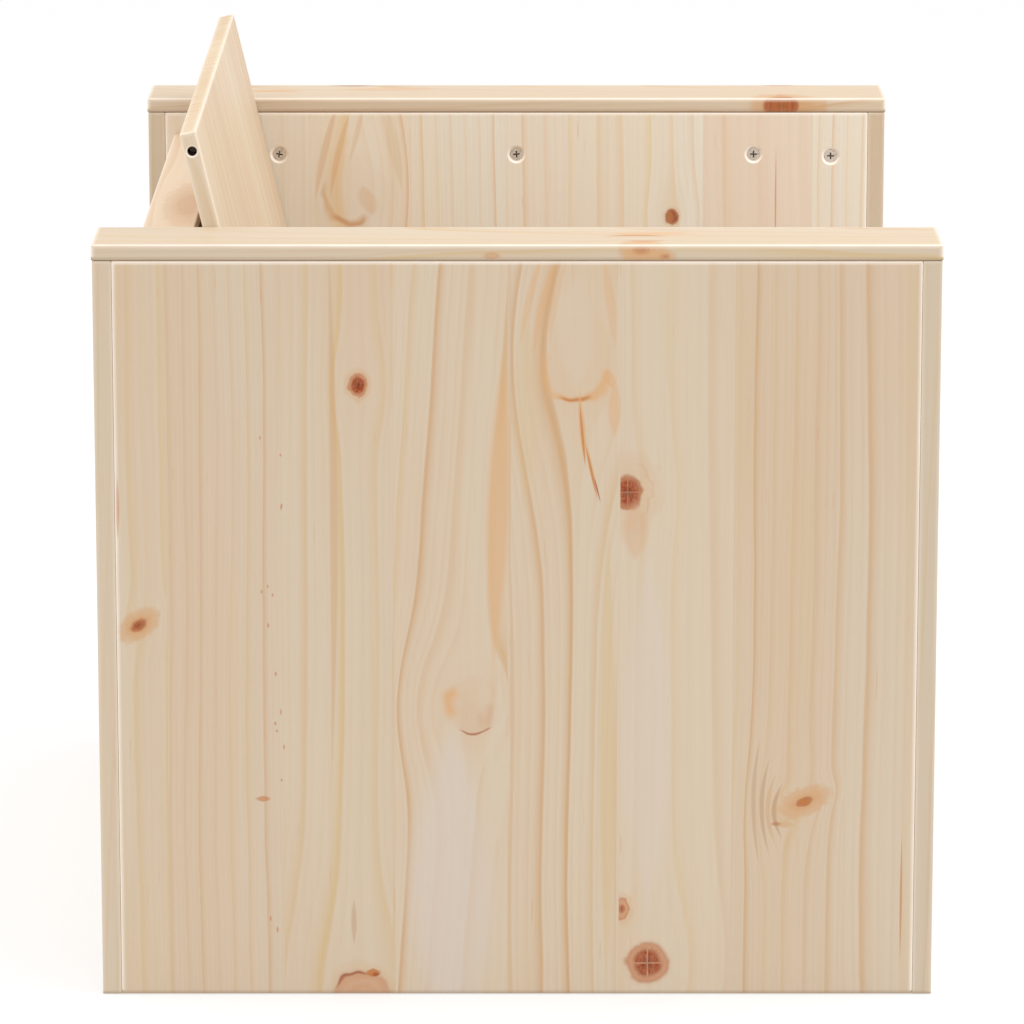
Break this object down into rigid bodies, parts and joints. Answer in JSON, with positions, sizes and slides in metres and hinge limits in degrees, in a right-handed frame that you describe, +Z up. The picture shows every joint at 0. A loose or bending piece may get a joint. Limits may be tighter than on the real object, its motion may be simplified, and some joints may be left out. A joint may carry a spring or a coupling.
{
  "type": "wooden toy box",
  "caption": "Bench-shaped pine toy box with hollow plank arms, a low storage bay and a hinged seat lid that leans back open",
  "frame": {"origin": "on the floor, under the middle of the box", "axes": "+Z up, front towards -Y, +X to the right arm as seen by someone who faces the front"},
  "size_m": [0.62, 0.5, 0.5157],
  "materials": {
    "pine_panel": "bare sanded pine, glued up from upright staves, satin",
    "pine_rail": "bare sanded solid pine with eased edges, satin",
    "pine_lid": "bare sanded pine with warm orange grain, satin",
    "pine_frame": "planed softwood batten, matt",
    "steel": "zinc-plated steel, satin"
  },
  "bodies": {
    "frame": {"left_outer_panel": "pine_panel", "left_inner_panel": "pine_panel", "left_front_strip": "pine_rail", "left_rear_strip": "pine_rail", "left_top_rail": "pine_rail", "left_front_post": "pine_frame", "left_rear_post": "pine_frame", "left_upper_batten": "pine_frame", "left_lower_batten": "pine_frame", "left_top_screw_front": "steel", "left_top_screw_middle": "steel", "left_top_screw_rear": "steel", "left_post_screw_front": "steel", "left_post_screw_rear": "steel", "left_base_screw_front": "steel", "left_base_screw_middle": "steel", "left_base_screw_rear": "steel", "right_outer_panel": "pine_panel", "right_inner_panel": "pine_panel", "right_front_strip": "pine_rail", "right_rear_strip": "pine_rail", "right_top_rail": "pine_rail", "right_front_post": "pine_frame", "right_rear_post": "pine_frame", "right_upper_batten": "pine_frame", "right_lower_batten": "pine_frame", "right_top_screw_front": "steel", "right_top_screw_middle": "steel", "right_top_screw_rear": "steel", "right_post_screw_front": "steel", "right_post_screw_rear": "steel", "right_base_screw_front": "steel", "right_base_screw_middle": "steel", "right_base_screw_rear": "steel", "front_wall": "pine_panel", "rear_wall": "pine_panel", "rear_cap": "pine_rail", "bottom_panel": "pine_panel", "bottom_cleat_front": "pine_frame", "bottom_cleat_rear": "pine_frame", "bottom_cleat_left": "pine_frame", "bottom_cleat_right": "pine_frame", "rear_seat_board": "pine_lid", "rear_seat_cleat": "pine_frame", "corner_cleat_front_left": "pine_frame", "corner_cleat_rear_left": "pine_frame", "lid_stop_left": "pine_rail", "corner_cleat_front_right": "pine_frame", "corner_cleat_rear_right": "pine_frame", "lid_stop_right": "pine_rail"},
    "lid": {"lid_panel": "pine_lid", "lid_pin_left": "steel", "lid_pin_right": "steel"}
  },
  "joints": [
    {"name": "lid_hinge", "type": "hinge", "parent": "frame", "child": "lid", "pos_m": [0, 0.11858, 0.19017], "axis": [1, 0, 0], "range_deg": [0, 103.4]}
  ]
}
